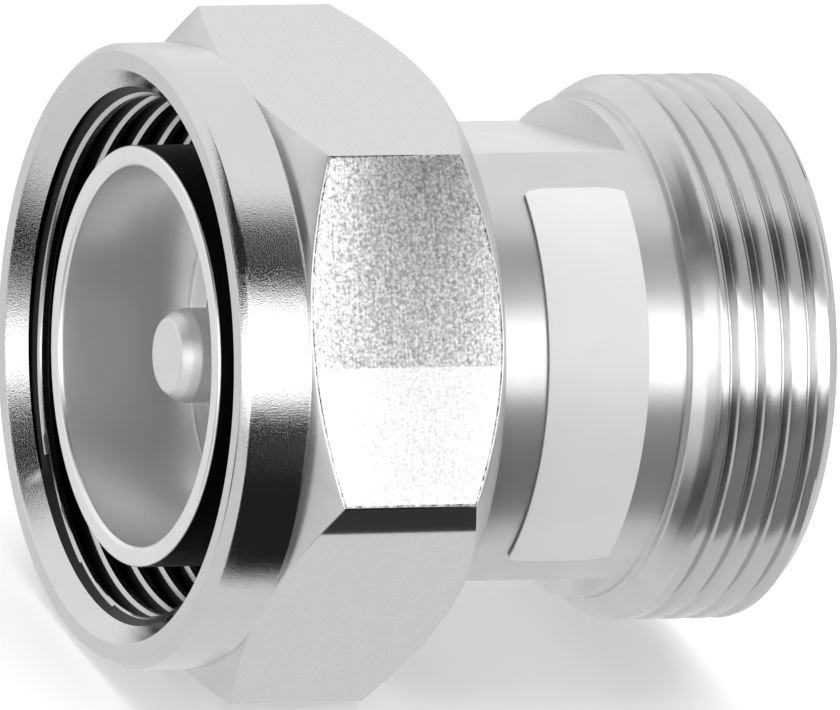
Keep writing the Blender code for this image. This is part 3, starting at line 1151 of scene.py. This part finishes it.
@dataclass
class JackContact(TurnedPiece):
    """The jack's outer contact: a sleeve with a flange at its foot."""

    node_name: str = "jack_outer_contact"
    outer: float = 9.0
    bore: float = 8.0
    flange: float = 9.5
    flange_thickness: float = 1.2
    rim_break: float = 0.15

    def outline(self) -> Outline:
        """Gives the outline.

        Returns:
            The points, from the foot's bore round the outside to the rim.
        """
        foot, rim = self.at.socket_front, self.at.sleeve_end
        return [
            (foot, self.bore),
            (foot, self.flange),
            (foot + self.flange_thickness, self.flange),
            (foot + self.flange_thickness, self.outer),
            (rim - self.rim_break, self.outer),
            (rim, self.outer - self.rim_break),
            (rim, self.bore + self.rim_break),
            (rim - self.rim_break, self.bore),
        ]


@dataclass
class Ring(TurnedPiece):
    """A plain ring: the seal or a bead."""

    start: float = 0.0
    length: float = 1.0
    outer: float = 1.0
    bore: float = 0.5

    def outline(self) -> Outline:
        """Gives the ring's rectangle.

        Returns:
            Its four corners.
        """
        end = self.start + self.length
        return [(self.start, self.bore), (self.start, self.outer), (end, self.outer), (end, self.bore)]


@dataclass
class PinContact(TurnedPiece):
    """The plug's centre contact, from its rounded tip to the stud that goes into the socket."""

    node_name: str = "pin_contact"
    finishes: tuple[Finish, ...] = (PIN_PLATE,)
    steps: int = SMALL_STEPS
    recess: float = 1.89
    radius: float = 2.5
    shank: float = 3.5
    stem: float = 2.3
    stud: float = 1.5
    stud_length: float = 3.0

    def outline(self) -> Outline:
        """Gives the outline.

        Returns:
            The points, from the tip's middle to the stud's.
        """
        tip = self.at.rim + self.recess
        stem_front = self.at.captive_bead_front - 0.3
        stem_end = self.at.socket_front - 0.3
        stud_end = self.at.socket_front + self.stud_length
        return [
            (tip, 0.0),
            (tip, self.radius - 0.60),
            (tip + 0.10, self.radius - 0.48),
            (tip + 0.50, self.radius - 0.18),
            (tip + 1.00, self.radius),
            (self.at.plug_floor, self.radius),
            (self.at.plug_floor, self.shank),
            (stem_front, self.shank),
            (stem_front, self.stem),
            (stem_end, self.stem),
            (stem_end, self.stud),
            (stud_end, self.stud),
            (stud_end, 0.0),
        ]


@dataclass
class SnapRing(Piece):
    """The split ring of spring bronze that holds the nut on the body."""

    node_name: str = "snap_ring"
    slot: Slot = Slot.BRONZE
    finishes: tuple[Finish, ...] = (SPRING_BRONZE,)
    inner: float = 11.7
    outer: float = 13.6
    thickness: float = 1.0
    split: float = 3.2
    edge: float = 0.08

    def shape(self) -> BMesh:
        """Builds the ring.

        Returns:
            The closed shape.
        """
        sweep = math.tau - self.split / self.outer
        bm = part_ring(
            self.at.snap_ring_front, self.thickness, (self.inner, self.outer), sweep, STEPS, self.edge
        )
        close_up(bm)
        return bm


@dataclass
class SocketContact(Piece):
    """The jack's centre socket, slotted into four spring fingers."""

    node_name: str = "socket_contact"
    slot: Slot = Slot.SILVER
    finishes: tuple[Finish, ...] = (SILVER_PLATE,)
    outer: float = 3.5
    bore: float = 2.5
    bore_depth: float = 7.0
    lead_in: float = 0.3
    stud_hole: float = 1.8
    stud_hole_depth: float = 3.3
    slot_length: float = 6.0
    slot_width: float = 0.5
    edge: float = 0.06
    slot_edge: float = 0.03

    def shape(self) -> BMesh:
        """Builds the socket.

        Returns:
            The closed shape.
        """
        front, end = self.at.socket_front, self.at.socket_end
        outline = [
            (front + self.stud_hole_depth, 0.0),
            (front + self.stud_hole_depth, self.stud_hole),
            (front, self.stud_hole),
            (front, self.outer),
            (end - 0.25, self.outer),
            (end, self.outer - 0.25),
            (end, self.bore + self.lead_in),
            (end - self.lead_in, self.bore),
            (end - self.bore_depth, self.bore),
            (end - self.bore_depth, 0.0),
        ]
        bm = turned(outline, closed=False, soften=self.edge, steps=SMALL_STEPS)
        tools = []
        for index in range(2):
            turn = Matrix.Rotation(math.pi / 4 + index * math.pi / 2, 4, "X")
            place = turn @ Matrix.Translation((end - self.slot_length / 2 + 0.5, 0, 0))
            tools.append(block(self.slot_length + 1, self.slot_width, 8, place))
        slotted = subtract(bm, tools)
        round_off(slotted, [e for e in slotted.edges if is_sharp(e, math.radians(50))], self.slot_edge)
        return slotted


@dataclass
class NeckLabel(Piece):
    """A blank sticker with rounded corners on the near side of the neck."""

    node_name: str = "label"
    slot: Slot = Slot.FILM
    finishes: tuple[Finish, ...] = (LABEL_FILM,)
    inner: float = 13.33
    thickness: float = 0.12
    start: float = 1.15
    width: float = 5.75
    low: float = math.radians(-30)
    high: float = math.radians(65)
    corner: float = 1.7

    def shape(self) -> BMesh:
        """Builds the sticker.

        Returns:
            The closed shape.
        """
        radii = (self.inner, self.inner + self.thickness)
        bm = part_ring(self.start, self.width, radii, self.high - self.low, 60, 0.0)
        bmesh.ops.rotate(bm, verts=bm.verts, cent=(0, 0, 0), matrix=Matrix.Rotation(-self.high, 3, "X"))
        short = [e for e in bm.edges if e.calc_length() < 1.5 * self.thickness]
        corners = [e for e in short if all(len(v.link_faces) == 3 for v in e.verts)]
        round_off(bm, corners, self.corner, segments=8, clamp=False)
        close_up(bm)
        return bm


# ---------------------------------------------------------------- studio


@dataclass
class PhotoCamera:
    """The camera, at the photograph's angle."""

    heading: float = math.radians(26.5985)
    height: float = math.radians(23.8678)
    roll: float = math.radians(10.3494)
    distance: float = 1200.0
    pixels_per_mm: float = 18.9159
    offset_x: float = 1.10
    offset_y: float = -4.27
    along: float = -0.2
    width: int = 840
    sensor: float = 36.0

    def build(self) -> Object:
        """Makes the camera the scene's own.

        Returns:
            The camera.
        """
        back = Vector(
            (
                -math.sin(self.heading) * math.cos(self.height),
                -math.cos(self.heading) * math.cos(self.height),
                math.sin(self.height),
            )
        )
        right = (-back).cross(Vector((0, 0, 1))).normalized()
        up = right.cross(-back)
        across = math.cos(self.roll) * right + math.sin(self.roll) * up
        upright = -math.sin(self.roll) * right + math.cos(self.roll) * up
        place = back * self.distance
        place -= across * self.offset_x / self.pixels_per_mm
        place += upright * self.offset_y / self.pixels_per_mm
        place.x += self.along
        data = bpy.data.cameras.new("photo_camera")
        data.sensor_width = self.sensor
        data.sensor_fit = "HORIZONTAL"
        data.lens = self.pixels_per_mm * self.distance * self.sensor / self.width
        data.clip_start = 0.05
        data.clip_end = 20.0
        camera = bpy.data.objects.new("photo_camera", data)
        turned = Matrix((across, upright, back)).transposed().to_4x4()
        camera.matrix_world = Matrix.Translation(place * MM) @ turned
        bpy.context.scene.collection.objects.link(camera)
        bpy.context.scene.camera = camera
        return camera


@dataclass(frozen=True)
class Card:
    """A card that only reflections see, between two edges with as many points each.

    The glow is the light that it gives, where 1 is white. The far glow is the light at the far
    edge's height, where it changes on the way there.
    """

    name: str
    near: Sequence[Point]
    far: Sequence[Point]
    glow: float
    far_glow: float | None = None

    def build(self) -> Object:
        """Makes the card.

        Returns:
            The card.
        """
        bm = bmesh.new()
        points = [bm.verts.new(point) for point in self.near]
        edges = [bm.edges.new(pair) for pair in zip(points, points[1:])]
        raised = bmesh.ops.extrude_edge_only(bm, edges=edges)
        for vert in (v for v in raised["geom"] if isinstance(v, bmesh.types.BMVert)):
            start = min(range(len(self.near)), key=lambda index: (Vector(self.near[index]) - vert.co).length)
            vert.co = self.far[start]
        obj = to_object(bm, self.name)
        material, tree, shader = new_material(self.name)
        shader.inputs["Base Color"].default_value = BLACK
        shader.inputs["Specular IOR Level"].default_value = 0.0
        shader.inputs["Roughness"].default_value = 1.0
        shader.inputs["Emission Color"].default_value = WHITE
        shader.inputs["Emission Strength"].default_value = self.glow
        if self.far_glow is not None:
            height = node(tree, "SeparateXYZ", {0: node(tree, "TexCoord").outputs["Object"]}).outputs["Z"]
            low, high = self.near[0][2] * MM, self.far[0][2] * MM
            fade = node(tree, "MapRange", {0: height, 1: low, 2: high, 3: self.glow, 4: self.far_glow})
            tree.links.new(fade.outputs[0], shader.inputs["Emission Strength"])
        obj.data.materials.append(material)
        obj.visible_camera = False
        obj.visible_diffuse = False
        obj.visible_shadow = False
        return obj


@dataclass
class Studio:
    """A pale floor, a soft overhead light, and the cards that give plated metal its bands.

    The cards run along the adapter's axis. The split is where those that the collar reflects end and
    those that the neck and the jack reflect begin.
    """

    floor_height: float = -16.5
    card_start: float = -500.0
    card_end: float = 1100.0
    split: float = 33.0
    floor_card: float = -16.2
    mirrored_floor: float = 0.82
    floor_lift: float = 0.3
    surround: float = 0.56

    def build(self) -> None:
        """Builds the floor, the cards, the light and the world."""
        self.floor()
        for card in self.cards():
            card.build()
        self.lamp()
        self.world()

    def cards(self) -> list[Card]:
        """Lays the cards out.

        Returns:
            The cards, in the order in which they are built.
        """
        start, end, split, low = self.card_start, self.card_end, self.split, self.floor_card
        upper = [(start, 119), (49, 119), (51.5, 91), (62, 88), (end, 88)]
        lower = [(start, 0), (-75, 0), (-55, 18), (24, 18), (40, 16), (52, 10), (end, 10)]
        edge = [(-12, -20.8), (-7, -20.6), (-6.5, -20.4), (4.6, -20.2), (5.2, -20.2)]
        flat = ((-2.0, 8.4, 10), (1.0, 11.3, 23.1), (6.6, 16.0, 41), (11.5, 21, 60))
        levels = [[(left, -40, z), (right, -40, z)] for left, right, z in flat]
        corner = (-60, -800)
        strips = (("top", upper), ("foot", lower))
        made = [
            Card(f"strip_card_{name}", [(x, -100, z) for x, z in line], [(x, -100, 40) for x, _ in line], 2.3)
            for name, line in strips
        ]
        made += [
            Card("flat_card_low", levels[0], levels[1], 1.0),
            Card("flat_card_high", levels[1], levels[2], 0.92, 0.02),
            Card("flat_card_top", levels[2], levels[3], 0.02),
            Card(
                "floor_dark_card",
                [(x, y, low) for x, y in edge],
                [(x, -101.5, low) for x in (-30, -7, 0, 20, split)],
                0.02,
            ),
            Card(
                "corner_dark_card",
                [(-6.4, -18.1, low), (4.6, -18.1, low)],
                [(-6.4, -20.4, low), (4.6, -20.2, low)],
                0.045,
            ),
            Card(
                "mouth_floor_card",
                [(-43, 13, low), (-58, 6, low), (-72, -1, low), (-106, -18, low)],
                [(-40, -3, low), (-50, -10, low), (-62, -15, low), (-98, -36, low)],
                0.02,
            ),
            Card(
                "mouth_high_card",
                [(-300, -58, 58), (-300, -36, 86), (-300, -15, 107), (-300, 18, 133)],
                [(-300, -102, 106), (-300, -80, 134), (-300, -59, 155), (-300, -15, 190)],
                0.02,
            ),
        ]
        lows = (("left", (start, -30), 0.30), ("near", (-30, split), 0.04), ("far", (split, end), 0.17))
        for name, ends, glow in lows:
            made.append(Card(f"low_{name}_card", [(x, -101, -16.4) for x in ends], [(x, -101, 41) for x in ends], glow))
        for name, foot, top, glow in (("near", (start, 27), (start, 81), 0.03), ("far", (27, end), (81, end), 0.60)):
            made.append(Card(f"gap_{name}_card", [(x, -140, 40) for x in foot], [(x, -45, 190) for x in top], glow))
        grey = ([(5.2, -20.2, low), (end, -20.2, low)], [(split, -101.5, low), (end, -101.5, low)])
        made.append(Card("floor_grey_card", *grey, 0.26))
        for name, foot, top in (("dark", (-250, -16), (-250, 300)), ("top", (-250, 300), (100, 300))):
            made.append(Card(f"front_{name}_card", [(x, *foot) for x in corner], [(x, *top) for x in corner], 0.03))
        return made


    def floor(self) -> Object:
        """Makes the pale floor, which the camera sees as white outside the shadow.

        Returns:
            The floor.
        """
        bm = bmesh.new()
        bmesh.ops.create_grid(bm, x_segments=1, y_segments=1, size=4.0)
        bmesh.ops.translate(bm, verts=bm.verts, vec=(0, 0, self.floor_height * MM))
        obj = to_object(bm, "floor", 1.0)
        material, tree, shader = new_material("pale_floor")
        shader.inputs["Base Color"].default_value = linear("#F4F4F4")
        shader.inputs["Roughness"].default_value = 0.9
        shader.inputs["Specular IOR Level"].default_value = 0.1
        seen = node(tree, "LightPath")
        lift = node(tree, "Math", {0: seen.outputs["Is Camera Ray"], 1: self.floor_lift}, operation="MULTIPLY")
        glow = node(tree, "Emission", {"Color": WHITE, "Strength": lift.outputs[0]})
        total = node(tree, "AddShader", {0: shader.outputs[0], 1: glow.outputs[0]})
        mirrored = node(tree, "Emission", {"Color": WHITE, "Strength": self.mirrored_floor})
        shown = node(tree, "MixShader", {0: seen.outputs["Is Glossy Ray"], 1: total.outputs[0], 2: mirrored.outputs[0]})
        tree.links.new(shown.outputs[0], tree.nodes["Material Output"].inputs["Surface"])
        obj.data.materials.append(material)
        return obj

    def lamp(self) -> Object:
        """Makes the soft overhead light.

        Returns:
            The lamp.
        """
        data = bpy.data.lights.new("overhead_softbox", "AREA")
        data.shape = "RECTANGLE"
        data.size = 1.2
        data.size_y = 0.9
        data.energy = 7.0
        lamp = bpy.data.objects.new("overhead_softbox", data)
        place = Vector((0.1, 0.1, 0.9))
        lamp.matrix_world = Matrix.Translation(place) @ place.to_track_quat("Z", "Y").to_matrix().to_4x4()
        lamp.visible_glossy = False
        bpy.context.scene.collection.objects.link(lamp)
        return lamp

    def world(self) -> bpy.types.World:
        """Makes the plain light round the scene, which the camera and reflections see as white.

        Returns:
            The world.
        """
        world = bpy.data.worlds.new("studio")
        bpy.context.scene.world = world
        world.use_nodes = True
        tree = world.node_tree
        seen = node(tree, "LightPath")
        first = node(
            tree,
            "Math",
            {0: seen.outputs["Is Camera Ray"], 1: seen.outputs["Is Glossy Ray"]},
            operation="MAXIMUM",
        )
        any_seen = node(
            tree, "Math", {0: first.outputs[0], 1: seen.outputs["Is Transmission Ray"]}, operation="MAXIMUM"
        )
        strength = node(tree, "MapRange", {0: any_seen.outputs[0], 1: 0.0, 2: 1.0, 3: self.surround, 4: 1.0})
        background = tree.nodes["Background"]
        background.inputs["Color"].default_value = WHITE
        tree.links.new(strength.outputs[0], background.inputs["Strength"])
        return world


def main() -> None:
    """Builds every piece, the studio and the camera, in order."""
    logging.basicConfig(level=logging.INFO, format="%(name)s %(message)s")
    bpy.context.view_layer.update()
    at = Stations()
    pieces: list[Piece] = [
        AdapterBody(at),
        CouplingNut(at),
        SnapRing(at),
        Ring(at, "gasket", Body.ADAPTER, Slot.SILICONE, (SILICONE,), 0.25, STEPS, at.gasket_front, 1.2, 13.4, 11.4),
        PlugContact(at),
        JackContact(at),
        Ring(at, "captive_bead", Body.ADAPTER, Slot.PTFE, (PTFE,), 0.2, STEPS, at.captive_bead_front, 2.7, 9.5, 2.6),
        Ring(at, "pressed_bead", Body.ADAPTER, Slot.PTFE, (PTFE,), 0.2, STEPS, 5.2, 2.5, 7.7, 3.8),
        PinContact(at),
        SocketContact(at),
        NeckLabel(at),
    ]
    for piece in pieces:
        piece.build()
    Studio().build()
    PhotoCamera().build()
    bpy.context.scene.view_settings.view_transform = "Standard"


if __name__ == "__main__":
    main()
